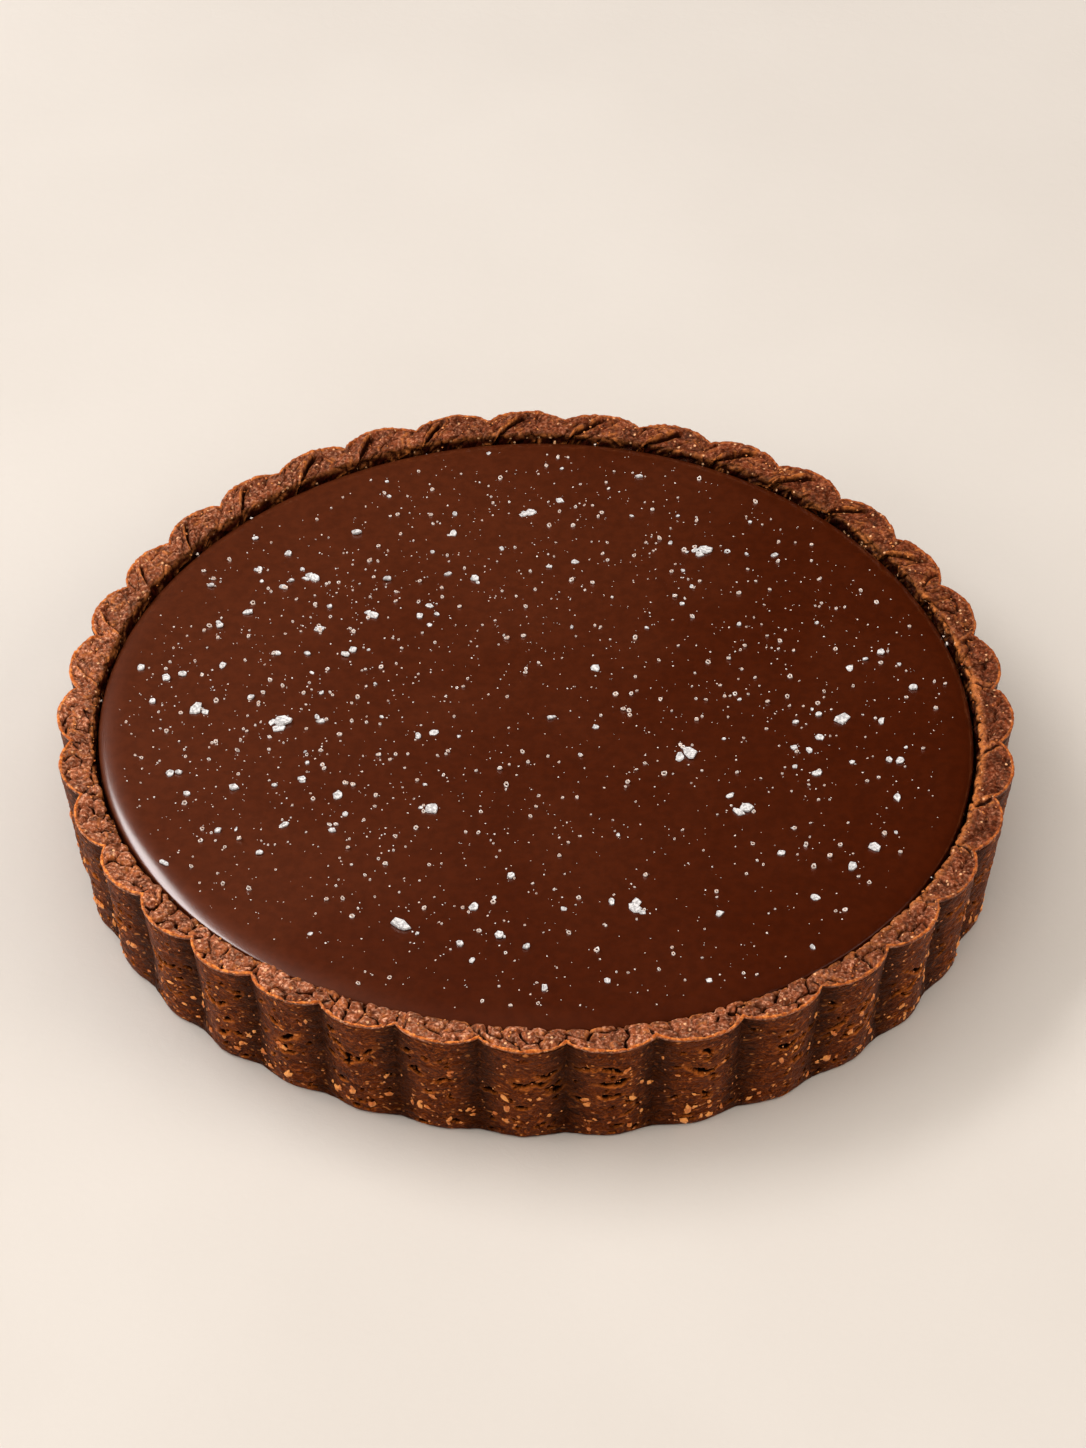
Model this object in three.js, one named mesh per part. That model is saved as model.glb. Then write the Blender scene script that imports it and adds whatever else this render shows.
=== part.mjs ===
// A round chocolate tart: a fluted shortcrust case filled with ganache.
// Millimetres, +Z up. The origin is the middle of the underside, on the surface that the tart
// stands on. Directions round the tart are counted in degrees from +X towards +Y.
import * as THREE from 'three';

// The case, outside. Its radii are at the crests of the flutes.
const fluteCount = 36;
const firstGroove = 5.1;
const fluteArcHalfAngle = 55;
const rimCrestRadius = 123.7;
const footCrestRadius = 119.9;
const caseHeight = 34.6;
const footRounding = 0.9;
const rimRounding = 1.2;

// The flutes from foot to rim: at each share of the height, the depth of a groove below its crests,
// and how sharp it is. The dough spread a little at the foot, which made the grooves shallow there.
const fluteLevels = [
  { share: 0, depth: 1.6, sharpness: 0.25 },
  { share: 0.2, depth: 3.1, sharpness: 0.5 },
  { share: 0.6, depth: 3.9, sharpness: 0.7 },
  { share: 1, depth: 3.7, sharpness: 1 },
];

// The case, inside. It was lined by hand, so the inner wall is round and has no flutes.
const rimInnerRadius = 114.2;
const wallInnerRadius = 113.7;
const floorInnerRadius = 111.2;
const floorThickness = 5;
const floorFillet = 3.2;
const rimDip = 0.5;
const innerRounding = 1.3;

// The filling. It shrank away from the wall a little as it set, which leaves a narrow groove.
const fillingTop = 32.6;
const fillingEdgeRadius = 113;
const shoulderWidth = 6;
const shoulderDrop = 1;
const grooveBottom = 27.2;
const fillingGap = 0.3;

// Unevenness of a thing made by hand.
const ovalAmount = 0.007;
const ovalDirection = -40.9;
const threeLobeAmount = 0.0094;
const threeLobeDirection = -43.3;
const depthVariation = 0.08;
const rimWave = 0.3;

// How far flutes stand from even spacing round the tart: waves per turn, degrees and phase of each.
const fluteDrift = [
  { waves: 1, amount: 1.43, phase: 104.7 },
  { waves: 2, amount: 0.29, phase: -100 },
  { waves: 3, amount: 0.51, phase: -150 },
  { waves: 4, amount: 0.34, phase: 178 },
];

// Fineness of the facets.
const stepsPerFlute = 8;
const fillingSteps = 108;

const radians = THREE.MathUtils.degToRad;

// How far the whole tart is from truly round, as a factor on every radius.
function outOfRound(angle) {
  const oval = ovalAmount * Math.cos(2 * (angle - radians(ovalDirection)));
  const lobes = threeLobeAmount * Math.cos(3 * (angle - radians(threeLobeDirection)));
  return 1 + oval + lobes;
}

// Turns an angle at which flutes are evenly spaced into the angle at which they really stand.
function drifted(angle) {
  const shift = fluteDrift.reduce((sum, drift) => {
    return sum + drift.amount * Math.cos(drift.waves * angle - radians(drift.phase));
  }, 0);
  return angle + radians(shift);
}

// The section of a flute: 0 in the groove, 1 on its crest. With sharpness 1 it is a circular arc
// between two sharp grooves, with 0 it is a soft wave.
function fluteSection(angle, sharpness) {
  const pitch = (2 * Math.PI) / fluteCount;
  const along = (angle - radians(firstGroove)) / pitch;
  const across = 2 * (along - Math.floor(along)) - 1;
  const halfAngle = radians(fluteArcHalfAngle);
  const arcHeight = Math.cos(Math.asin(across * Math.sin(halfAngle)));
  const arc = (arcHeight - Math.cos(halfAngle)) / (1 - Math.cos(halfAngle));
  const wave = 0.5 + 0.5 * Math.cos(Math.PI * across);
  return THREE.MathUtils.lerp(wave, arc, sharpness);
}

// No two flutes are pressed equally deep.
function fluteStrength(angle) {
  return 1 + depthVariation * Math.sin(5 * angle + 0.6) * Math.cos(11 * angle);
}

// The rim rises and falls gently round the tart.
function rimLift(angle) {
  return rimWave * (Math.sin(3 * angle + 0.8) + 0.5 * Math.sin(7 * angle + 2));
}

// Turns a profile into a closed solid, then moves its vertices out into flutes and up and down with
// the rim. Each ring of the profile has a radius, a height, the depth and the sharpness of its
// flutes, and its share of the rim's lift.
function turnedSolid(rings, steps) {
  const profile = rings.map((ring) => new THREE.Vector2(ring.radius, ring.height));
  const geometry = new THREE.LatheGeometry(profile, steps);
  geometry.rotateX(Math.PI / 2);
  const position = geometry.getAttribute('position');
  for (let index = 0; index < position.count; index += 1) {
    const ring = rings[index % rings.length];
    const column = Math.floor(index / rings.length) % steps;
    const angle = radians(firstGroove) + (column * 2 * Math.PI) / steps;
    const flute = ring.flute * fluteSection(angle, ring.sharpness) * fluteStrength(angle);
    const place = drifted(angle);
    const radius = (ring.radius + flute) * outOfRound(place);
    const height = ring.height + ring.lift * rimLift(angle);
    position.setXYZ(index, radius * Math.cos(place), radius * Math.sin(place), height);
  }
  geometry.computeVertexNormals();
  return geometry;
}

function ring(radius, height, flute = 0, lift = 0, sharpness = 1) {
  return { radius, height, flute, lift, sharpness };
}

// A ring of the outer wall at a height: its radius in the grooves, and its flutes.
function outerWall(height, inset = 0) {
  const share = height / caseHeight;
  const upper = fluteLevels.findIndex((level) => level.share >= share - 1e-9);
  const above = fluteLevels[upper];
  const below = fluteLevels[Math.max(upper - 1, 0)];
  const span = Math.max(above.share - below.share, 1e-9);
  const blend = THREE.MathUtils.clamp((share - below.share) / span, 0, 1);
  const depth = THREE.MathUtils.lerp(below.depth, above.depth, blend);
  const sharpness = THREE.MathUtils.lerp(below.sharpness, above.sharpness, blend);
  const crest = THREE.MathUtils.lerp(footCrestRadius, rimCrestRadius, share);
  return ring(crest - depth - inset, height, depth, share ** 4, sharpness);
}

function crustGeometry() {
  const rimDepth = fluteLevels[fluteLevels.length - 1].depth;
  const rimMiddle = (rimCrestRadius - rimDepth + rimInnerRadius) / 2;
  const rings = [
    ring(0, 0),
    { ...outerWall(0, footRounding), lift: 0 },
    outerWall(footRounding),
    outerWall(caseHeight * 0.2),
    outerWall(caseHeight * 0.6),
    outerWall(caseHeight - rimRounding),
    outerWall(caseHeight, rimRounding / 2),
    ring(rimMiddle, caseHeight - rimDip, rimDepth * 0.35, 1),
    ring(rimInnerRadius + innerRounding * 0.4, caseHeight - rimDip - innerRounding * 0.3, 0, 1),
    ring(rimInnerRadius, caseHeight - rimDip - innerRounding, 0, 1),
    ring(wallInnerRadius, grooveBottom),
    ring(floorInnerRadius, floorThickness + floorFillet),
    ring(floorInnerRadius - floorFillet * 0.3, floorThickness + floorFillet * 0.3),
    ring(floorInnerRadius - floorFillet, floorThickness),
    ring(0, floorThickness),
  ];
  return turnedSolid(rings, fluteCount * stepsPerFlute);
}

function ganacheGeometry() {
  const bottom = floorThickness + fillingGap;
  const cornerRadius = floorInnerRadius - fillingGap;
  const shoulder = (share) => {
    const turn = share * (Math.PI / 2);
    const radius = fillingEdgeRadius - shoulderWidth * (1 - Math.cos(turn));
    return ring(radius, fillingTop - shoulderDrop * (1 - Math.sin(turn)));
  };
  const rings = [
    ring(0, bottom),
    ring(cornerRadius - floorFillet, bottom),
    ring(cornerRadius - floorFillet * 0.3, bottom + floorFillet * 0.3),
    ring(cornerRadius, bottom + floorFillet),
    ring(wallInnerRadius - fillingGap, grooveBottom),
    shoulder(0),
    shoulder(0.35),
    shoulder(0.65),
    shoulder(1),
    ring(0, fillingTop),
  ];
  return turnedSolid(rings, fillingSteps);
}

function part(name, geometry, material) {
  const mesh = new THREE.Mesh(geometry, material);
  mesh.name = name;
  return mesh;
}

const crustMaterial = new THREE.MeshStandardMaterial({ color: 0x73452f, roughness: 0.75, metalness: 0 });
const ganacheMaterial = new THREE.MeshStandardMaterial({ color: 0x4a1c0b, roughness: 0.25, metalness: 0 });

const tart = new THREE.Group();
tart.add(part('crust', crustGeometry(), crustMaterial));
tart.add(part('ganache', ganacheGeometry(), ganacheMaterial));

export default tart;
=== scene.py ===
import math
import bpy
import numpy as np
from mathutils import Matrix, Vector


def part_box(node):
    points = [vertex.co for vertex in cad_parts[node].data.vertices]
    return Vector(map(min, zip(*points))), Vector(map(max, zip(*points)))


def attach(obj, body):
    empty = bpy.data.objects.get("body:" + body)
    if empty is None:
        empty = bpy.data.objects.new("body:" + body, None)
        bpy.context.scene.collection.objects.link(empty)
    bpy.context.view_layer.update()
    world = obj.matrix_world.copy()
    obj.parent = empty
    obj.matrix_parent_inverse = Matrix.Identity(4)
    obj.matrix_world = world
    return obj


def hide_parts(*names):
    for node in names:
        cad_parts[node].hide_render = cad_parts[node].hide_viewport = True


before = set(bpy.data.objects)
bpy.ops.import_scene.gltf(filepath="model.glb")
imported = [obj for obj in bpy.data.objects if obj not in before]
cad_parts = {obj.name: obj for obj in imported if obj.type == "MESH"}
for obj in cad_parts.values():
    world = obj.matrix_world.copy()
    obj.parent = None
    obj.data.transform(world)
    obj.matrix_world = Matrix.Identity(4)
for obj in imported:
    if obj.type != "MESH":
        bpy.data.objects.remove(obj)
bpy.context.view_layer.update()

mm = 0.001  # shapes are worked out in millimetres and scaled once, in makeMesh
turn = 2 * math.pi

# heights of the case and of the filling
caseHeight = 34.6
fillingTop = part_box("ganache")[1].z / mm

tart = dict(
    fluteCount=36, firstGroove=5.1, arcHalfAngle=55,
    rimCrestRadius=123.7, footCrestRadius=119.9,
    # shares of the height, and there the depth of the grooves and how sharp they are
    levelShare=(0, 0.2, 0.6, 1), levelDepth=(1.6, 3.1, 3.9, 3.7), levelSharpness=(0.25, 0.5, 0.7, 1),
    rimInnerRadius=114.5, wallInnerRadius=113.9, floorInnerRadius=111.3,
    ovalAmount=0.007, ovalDirection=-40.9,
    lobeAmount=0.0094, lobeDirection=-43.3,
    depthVariation=0.08, rimWave=0.3,
    # how far flutes stand from even spacing: waves per turn, degrees, phase
    fluteDrift=[(1, 1.43, 104.7), (2, 0.29, -100), (3, 0.51, -150), (4, 0.34, 178)],
)
fluteCount = tart["fluteCount"]
fluteAngle = turn / fluteCount
firstAngle = math.radians(tart["firstGroove"])


# even angles round the tart, the first of them in a groove
def evenAngles(columns):
    return np.arange(columns) / columns * turn + firstAngle


# how far the whole tart is from truly round, a factor on every radius
def outOfRound(angle):
    oval = tart["ovalAmount"] * np.cos(2 * (angle - math.radians(tart["ovalDirection"])))
    lobes = tart["lobeAmount"] * np.cos(3 * (angle - math.radians(tart["lobeDirection"])))
    return 1 + oval + lobes


# from an angle at which flutes are evenly spaced to the angle at which they really stand
def drifted(angle):
    shift = sum(amount * np.cos(waves * angle - math.radians(phase))
                for waves, amount, phase in tart["fluteDrift"])
    return angle + np.radians(shift)


# where an angle lies across its flute: -1 and 1 in the grooves, 0 on the crest
def acrossFlute(angle):
    along = (angle - firstAngle) / turn * fluteCount
    return 2 * (along - np.floor(along)) - 1


# a flute is a sharp-edged arc at the rim and a soft wave at the foot
def fluteSection(angle, sharpness):
    half = math.radians(tart["arcHalfAngle"])
    across = acrossFlute(angle)
    arc = (np.sqrt(1 - (across * math.sin(half)) ** 2) - math.cos(half)) / (1 - math.cos(half))
    wave = 0.5 + 0.5 * np.cos(math.pi * across)
    strength = 1 + tart["depthVariation"] * np.sin(5 * angle + 0.6) * np.cos(11 * angle)
    return strength * (wave + (arc - wave) * sharpness)


def rimLift(angle):
    return tart["rimWave"] * (np.sin(3 * angle + 0.8) + 0.5 * np.sin(7 * angle + 2))


# radius of the outer wall at a height, before the tart is made out of round
def wallRadius(angle, height):
    share = np.clip(height / caseHeight, 0, 1.1)
    crest = tart["footCrestRadius"] + share * (tart["rimCrestRadius"] - tart["footCrestRadius"])
    depth = np.interp(share, tart["levelShare"], tart["levelDepth"])
    sharpness = np.interp(share, tart["levelShare"], tart["levelSharpness"])
    return crest - depth + depth * fluteSection(angle, sharpness)


# repeatable numbers from whole-number places, 0 to 1
def hashed(ix, iy, iz, seed):
    h = (np.asarray(ix, np.int64) * 73856093) ^ (np.asarray(iy, np.int64) * 19349663)
    h = h ^ (np.asarray(iz, np.int64) * 83492791) ^ (seed * 2654435761)
    h = (h & 0xFFFFFFFF).astype(np.uint64)
    for shift, factor in ((15, 2246822519), (13, 3266489917)):
        h = ((h ^ (h >> np.uint64(shift))) * np.uint64(factor)) & np.uint64(0xFFFFFFFF)
    return (h ^ (h >> np.uint64(16))).astype(float) / 4294967295.0


# smooth noise in space, -1 to 1, with bumps of the given size
def softNoise(x, y, z, size, seed):
    px, py, pz = x / size, y / size, z / size
    ix, iy, iz = (np.floor(p).astype(int) for p in (px, py, pz))
    fx, fy, fz = (f * f * (3 - 2 * f) for f in (px - ix, py - iy, pz - iz))
    total = 0
    for dx, dy, dz in np.ndindex(2, 2, 2):
        share = (fx if dx else 1 - fx) * (fy if dy else 1 - fy) * (fz if dz else 1 - fz)
        total = total + share * hashed(ix + dx, iy + dy, iz + dz, seed)
    return 2 * total - 1


def layeredNoise(x, y, z, size, seed, layers=2):
    total, reach = 0, 0
    for layer in range(layers):
        total = total + softNoise(x, y, z, size / 2 ** layer, seed + layer) / 2 ** layer
        reach += 1 / 2 ** layer
    return total / reach


# irregular crumbs on a strip that closes on itself: distance to the nearest border, a number of
# the crumb's own, one for each pair of neighbours, and the place inside the crumb
def crumbCells(along, across, around, cellLong, cellWide, seed, loose=0.85):
    columns = max(3, round(around / cellLong))
    stepLong = around / columns
    iu, iv = np.floor(along / stepLong).astype(int), np.floor(across / cellWide).astype(int)
    first, second = (np.full(along.shape, 1e9) for _ in range(2))
    cell, nextCell = (np.zeros((3, *along.shape)) for _ in range(2))  # middle, and its own number
    for du, dv in np.ndindex(5, 5):
        cu, cv = iu + du - 2, iv + dv - 2
        offU, offV, ident = (hashed(cu % columns, cv, k, seed) for k in (1, 2, 3))
        own = np.stack([(cu + 0.5 + loose * (offU - 0.5)) * stepLong,
                        (cv + 0.5 + loose * (offV - 0.5)) * cellWide, ident])
        dist = np.hypot(along - own[0], across - own[1])
        nearer, between = dist < first, dist < second
        second = np.where(nearer, first, np.where(between, dist, second))
        nextCell = np.where(nearer, cell, np.where(between, own, nextCell))
        first, cell = np.where(nearer, dist, first), np.where(nearer, own, cell)
    apart = np.maximum(np.hypot(cell[0] - nextCell[0], cell[1] - nextCell[1]), 0.1)
    border = (second ** 2 - first ** 2) / (2 * apart)
    pair = np.modf((cell[2] + nextCell[2]) * 57.31)[0]
    return border, cell[2], pair, along - cell[0], across - cell[1]


def bell(value, width):
    return np.exp(-(value / width) ** 2)


def ease(value, low, high):
    t = np.clip((value - low) / (high - low), 0, 1)
    return t * t * (3 - 2 * t)


# a mesh object from points in millimetres, with optional number layers on its points
def makeMesh(name, points, faces, layers=None, smooth=True):
    mesh = bpy.data.meshes.new(name)
    mesh.from_pydata((np.asarray(points) * mm).tolist(), [], faces)
    mesh.validate()
    mesh.update()
    for label, values in (layers or {}).items():
        attribute = mesh.attributes.new(label, "FLOAT", "POINT")
        attribute.data.foreach_set("value", np.asarray(values, np.float32).ravel())
    mesh.polygons.foreach_set("use_smooth", [smooth] * len(mesh.polygons))
    piece = bpy.data.objects.new(name, mesh)
    bpy.context.scene.collection.objects.link(piece)
    return piece


# quads of a grid of rings; closeRows joins the last ring to the first
def gridFaces(rows, columns, closeRows=False, closeColumns=True):
    j = np.arange(rows if closeRows else rows - 1)[:, None]
    i = np.arange(columns if closeColumns else columns - 1)[None, :]
    nextJ, nextI = (j + 1) % rows, (i + 1) % columns
    quads = np.stack([j * columns + i, j * columns + nextI,
                      nextJ * columns + nextI, nextJ * columns + i], -1)
    return quads.reshape(-1, 4).tolist()


def capFaces(firstPoint, columns, centrePoint, flip=False):
    ring = [(firstPoint + i, firstPoint + (i + 1) % columns) for i in range(columns)]
    return [(b, a, centrePoint) if flip else (a, b, centrePoint) for a, b in ring]


# a grid with one more ring at its end
def withRing(grid, values):
    return np.vstack([grid, np.zeros(grid.shape[1]) + values])


# a solid of stacked rings, closed by a point below and one above
def cappedRings(rings, bottom, top):
    points = np.vstack(rings + [[[0, 0, bottom], [0, 0, top]]])
    columns, last = len(rings[0]), len(points) - 1
    faces = gridFaces(len(rings), columns) + capFaces(0, columns, last - 1, flip=True)
    return points, faces + capFaces((len(rings) - 1) * columns, columns, last)


# places on the tart from even angle, radius and height
def toPoints(angle, radius, height):
    place = drifted(angle)
    wide = radius * outOfRound(place)
    return np.stack([wide * np.cos(place), wide * np.sin(place), height + 0 * wide], -1)


# a grid of rings whose section closes on itself, cut into equal sectors that are pieces of their
# own, with normals that run on across the cuts
def ringPieces(names, points, layers):
    rows, columns = points.shape[:2]
    around = np.roll(points, -1, 1) - np.roll(points, 1, 1)
    down = np.roll(points, -1, 0) - np.roll(points, 1, 0)
    normals = np.cross(around, down)
    normals = normals / np.maximum(np.linalg.norm(normals, axis=-1, keepdims=True), 1e-9)
    step = columns // len(names)
    pieces = []
    for sector, name in enumerate(names):
        picked = np.arange(sector * step, sector * step + step + 1) % columns
        own = {label: values[:, picked] for label, values in layers.items()}
        faces = gridFaces(rows, step + 1, closeRows=True, closeColumns=False)
        piece = makeMesh(name, points[:, picked].reshape(-1, 3), faces, own)
        piece.data.normals_split_custom_set_from_vertices(normals[:, picked].reshape(-1, 3).tolist())
        pieces.append(piece)
    return pieces


rim = dict(
    columns=2808, topRows=31, bevelRows=7, wallRows=12, bevelSize=1.4, lowest=26.7, middleRadius=117.6,
    # outer lip from below: how far in and down it runs, which way crumbs stand out, and how freely
    lipRows=[(2.0, 2.2, 0, -1, 0), (0.45, 1.3, 1, 0, 0), (0, 0.9, 1, 0, 0.1),
             (-0.06, 0.55, 1, 0, 0.15), (-0.04, 0.25, 0.9, 0.4, 0.25), (0.12, 0.08, 0.5, 0.85, 0.4)],
    topStart=0.38, topSlope=0.35, crumbLong=5.0, crumbWide=4.1, warpSize=4.5, warpLarge=0.95,
    warpSmall=0.36, pillow=1.2, pillowSoftness=0.78, crackDepth=1.1, crackWidth=0.33,
    tiltHeight=0.45, tiltSlope=0.25,
    pebbleSize=1.9, pebbleHeight=0.1, grainSize=0.62, grainHeight=0.1, unevenSize=7, unevenHeight=0.2,
    creaseWidth=0.42, creaseLean=1.2, lipHeight=0.34, lipWidth=0.42, beadSize=1.0, chipSize=3.1,
    # twist: diagonal folds, which fade in and out between these bearings
    twistFrom=(12, 40), twistTo=(164, 196), twistLean=0.8, twistSlope=1.35, twistDepth=1.15,
    twistStep=1.25, foldWidth=0.55, shadeDarkestAt=45, pressedAt=-14, pressedSpread=34,
    lowLimit=-2.4, highLimit=2.5, grooveLimit=0.6, seed=11,
)


# the crumbly top of the case: one closed ring over the wall, from the crisp outer lip across the
# top and down the inner wall to below the filling
def makeRim():
    columns = rim["columns"]
    angle = evenAngles(columns)
    outer, inner = wallRadius(angle, caseHeight), tart["rimInnerRadius"]
    width = outer - inner
    top = caseHeight + rimLift(angle)
    bevel, lowest = rim["bevelSize"], rim["lowest"]
    rows = []  # radius, height, outward part of the normal, upward part, free to move

    def addRow(*values):
        rows.append([np.zeros(columns) + value for value in values])

    def topDrop(inset):  # the top falls a little towards the filling
        return rim["topSlope"] * ease(inset, 0, 8)

    for inwards, down, normalOut, normalUp, free in rim["lipRows"]:
        addRow(outer - inwards, top - down, normalOut, normalUp, free)
    for t in np.linspace(0, 1, rim["topRows"]):
        inset = rim["topStart"] + (width - bevel - rim["topStart"]) * t
        drop = 0.1 + topDrop(inset) + 0.1 * t ** 2
        addRow(outer - inset, top - drop, 0.05, 1, ease(inset, 0.2, 1.2) * 0.6 + 0.4)
    bevelTop = top - (0.2 + topDrop(width - bevel))
    for t in np.linspace(0, 1, rim["bevelRows"] + 1)[1:]:
        out, up = -math.sin(t * math.pi / 2), math.cos(t * math.pi / 2)
        addRow(inner + bevel * (1 + out), bevelTop - bevel * (1 - up), out, up, 1)
    wallTop = bevelTop - bevel
    for t in np.linspace(0, 1, rim["wallRows"] + 1)[1:]:
        addRow(inner - (inner - tart["wallInnerRadius"]) * t, wallTop + (lowest - wallTop) * t,
               -1, 0, 1 - ease(t, 0.5, 0.85))
    addRow(inner + 1.2, lowest, 0, -1, 0)
    addRow(inner + 1.8, lowest + 2.5, 0, 0, 0)
    radius, height, normalOut, normalUp, free = np.array(rows).transpose(1, 0, 2)

    # length along the section, counted from the lip, so that crumbs run on over the bevel
    steps = np.hypot(np.diff(radius, axis=0), np.diff(height, axis=0))
    across = np.concatenate([np.zeros((1, columns)), np.cumsum(steps, axis=0)])
    across = across - across[len(rim["lipRows"]) - 1]
    around = turn * rim["middleRadius"]
    along = np.broadcast_to((angle - firstAngle) / turn * around, across.shape)
    x, y, z = radius * np.cos(angle), radius * np.sin(angle), height

    def bumps(size, seed):
        return softNoise(x, y, z, size, seed)

    def warp(seed):
        large = rim["warpLarge"] * layeredNoise(x, y, z, rim["warpSize"], seed)
        return large + rim["warpSmall"] * bumps(1.5, seed + 2)

    warpLong, warpWide = warp(3), warp(7)
    bearing = np.degrees(angle)
    twist = ease(bearing, *rim["twistFrom"]) * (1 - ease(bearing, *rim["twistTo"]))
    pressed = bell(np.mod(bearing - rim["pressedAt"] + 180, 360) - 180, rim["pressedSpread"])

    # crumbs with cracks between them, and small pebbles on them
    border, crumb, pair, offLong, offWide = crumbCells(
        along + warpLong - rim["twistLean"] * twist * across, across + warpWide,
        around, rim["crumbLong"], rim["crumbWide"], rim["seed"])
    pebble, pebbleTone = crumbCells(along + warpLong, across + warpWide, around,
                                    rim["pebbleSize"], rim["pebbleSize"], 31)[:2]
    crackStrength = (0.12 + 0.88 * ease(pair, 0.15, 0.7)) * (1 - 0.5 * twist)
    crack = bell(border, rim["crackWidth"] * (0.75 + 0.5 * crackStrength)) * crackStrength

    # a crease runs inwards from every groove, leaning one way or the other
    pitch = around / fluteCount
    groove = np.round(along / pitch)
    lean = rim["creaseLean"] * (hashed(groove % fluteCount, 5, 0, 2) - 0.5) - 0.5 * twist
    fromGroove = along - groove * pitch + lean * across + 0.4 * warpLong
    pastLip = ease(across, 0.3, 0.9)
    crease = bell(fromGroove, rim["creaseWidth"]) * (1 - ease(across, 2.5, 5.5)) * pastLip
    crack = np.maximum(crack, 0.85 * crease * (1 - 0.6 * twist))

    # on one side the top was pressed smooth, and only long creases part the flutes
    longCrease = bell(fromGroove, 0.6) * (1 - ease(across, 5.5, 8)) * pastLip
    crack = np.maximum(crack * (1 - 0.65 * pressed), 0.9 * longCrease * pressed)
    creaseEdge = bell(np.abs(fromGroove) - 1.0, 0.45) * ease(across, 0.6, 1.6) * pressed

    # where the pastry was folded over, each flute has one deep diagonal crease, with a rounded edge
    # on its outer side and low pastry on its inner side
    fold = along - rim["twistSlope"] * across + 0.5 * warpLong + 0.45 * warpWide
    foldNumber = np.floor(fold / pitch + 0.02)
    start = 0.3 + 0.25 * hashed(foldNumber % fluteCount, 8, 0, 3)
    past = fold - (foldNumber + start) * pitch
    inside = ease(across, 0.9, 2.6)
    foldLine = bell(past + 0.1, rim["foldWidth"] + 0.28 * bumps(3.3, 15)) * inside * twist
    step = np.where(past > 0, np.exp(-np.maximum(past, 0) / 3.6), -np.exp(np.minimum(past, 0) / 2.4))
    # painted shade on the low pastry beside each fold
    sunkShade = inside * twist * ease(-past, -0.2, 0.5) * np.exp(np.minimum(past, 0) / 2.2)
    crack = np.maximum(crack, 0.85 * foldLine) * ease(across, 0.35, 1.1)

    # all heights together, along the normal
    pillow = 1 - np.exp(-border / rim["pillowSoftness"])
    tilt = sum((hashed(np.floor(crumb * 9973), k, 1, 5) - 0.5) * off
               for k, off in ((1, offLong), (2, offWide))) * rim["tiltSlope"]
    calm = 1 - 0.45 * twist * inside - 0.5 * pressed
    relief = calm * rim["pillow"] * (0.35 + 0.65 * crackStrength) * (pillow - 0.75)
    relief += rim["tiltHeight"] * (crumb - 0.5) * (1 - 0.5 * twist) + tilt
    relief -= rim["crackDepth"] * crack
    relief += twist * inside * (rim["twistStep"] * step - rim["twistDepth"] * foldLine)
    relief += rim["pebbleHeight"] * (1 - np.exp(-pebble / 0.4)) * (0.4 + pebbleTone)
    grain = bumps(rim["grainSize"], 41)
    relief += rim["grainHeight"] * grain
    relief += rim["unevenHeight"] * layeredNoise(x, y, z, rim["unevenSize"], 43)

    # the crisp lip stands up in small beads and breaks at the larger cracks
    beads = 0.5 + 0.5 * softNoise(x, y, z * 0, rim["beadSize"], 51)
    chips = ease(softNoise(x, y, z * 0, rim["chipSize"], 53), 0.35, 0.75)
    lip = bell(across - 0.15, rim["lipWidth"]) * (1 - 0.45 * chips)
    relief = relief * free + rim["lipHeight"] * lip * (0.2 + 1.2 * beads)
    relief = np.where(free == 0, 0, relief)
    limit = np.where(normalUp < 0.3, rim["grooveLimit"], rim["highLimit"])  # the groove stays open
    relief = np.clip(relief, rim["lowLimit"], limit)
    points = toPoints(angle, radius + normalOut * relief, height + normalUp * relief)

    # toasted colour and painted highlights on the crumb, fold and crease edges and along the inner edge; on
    # pressed flutes, painted shade in the middle and a painted highlight along the inner side
    crumbEdge = bell(border - 0.7, 0.35) * ease(bumps(2.6, 61), -0.1, 0.6)
    foldEdge = bell(past - 0.75, 0.6) * inside * twist * ease(bumps(2.0, 63), -0.5, 0.3)
    innerEdge = bell(across - (width + 0.1), 0.6) * (0.45 + 0.55 * ease(bumps(2.2, 65), -0.3, 0.4))
    innerEdge = innerEdge + pressed * bell(across - (width - 0.9), 0.8) * 0.8
    # painted shade in the middle of the pressed flutes
    middle = ease(across, 0.5, 1.4) * (1 - ease(across, width - 2.7, width - 1.5))
    middle = middle * pressed * (1 - bell(fromGroove, 1.3)) * (0.42 + 0.4 * bumps(1.5, 67))
    toastAndHighlight = (0.7 * crumbEdge * (1 - pressed) + 1.5 * foldEdge + 0.8 * creaseEdge
               + innerEdge * (1 - 0.6 * twist))
    # painted shade: the rim is coloured darker towards the back and right side, where less light falls
    bakedAndSideShade = 0.5 + 0.5 * np.cos(angle - math.radians(rim["shadeDarkestAt"]))
    layers = dict(
        crack=np.clip(crack, 0, 1) * np.clip(free * 1.5, 0, 1),
        crisp=np.clip(lip * (0.5 + 0.7 * beads), 0, 1),
        toastAndHighlight=np.clip(toastAndHighlight, 0, 1),
        tone=crumb,
        grain=np.clip(0.5 + 0.5 * grain, 0, 1),
        bakedAndSideShade=np.broadcast_to(bakedAndSideShade, x.shape),
        sunkShade=np.clip(sunkShade + middle, 0, 1),
        depth=np.clip((top - height) / 5, 0, 1),
    )
    return ringPieces(("crustRimBack", "crustRimFront"), points, layers)


wall = dict(
    columns=2304, rows=74, footRows=3, footRounding=0.9, meanRadius=120.0, seed=23,
    unevenSize=11, unevenHeight=0.28, dentSize=2.6, dentHeight=0.3, grainSize=0.8, grainHeight=0.07,
    streakHeight=0.07, footWear=0.3,
    # pits where the dough didn't close against the tin, to a flute
    largePitShare=0.85, smallPits=17, footPits=5, pitDepth=1.8, pitEdge=0.2, pitReach=5.0,
)


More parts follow.
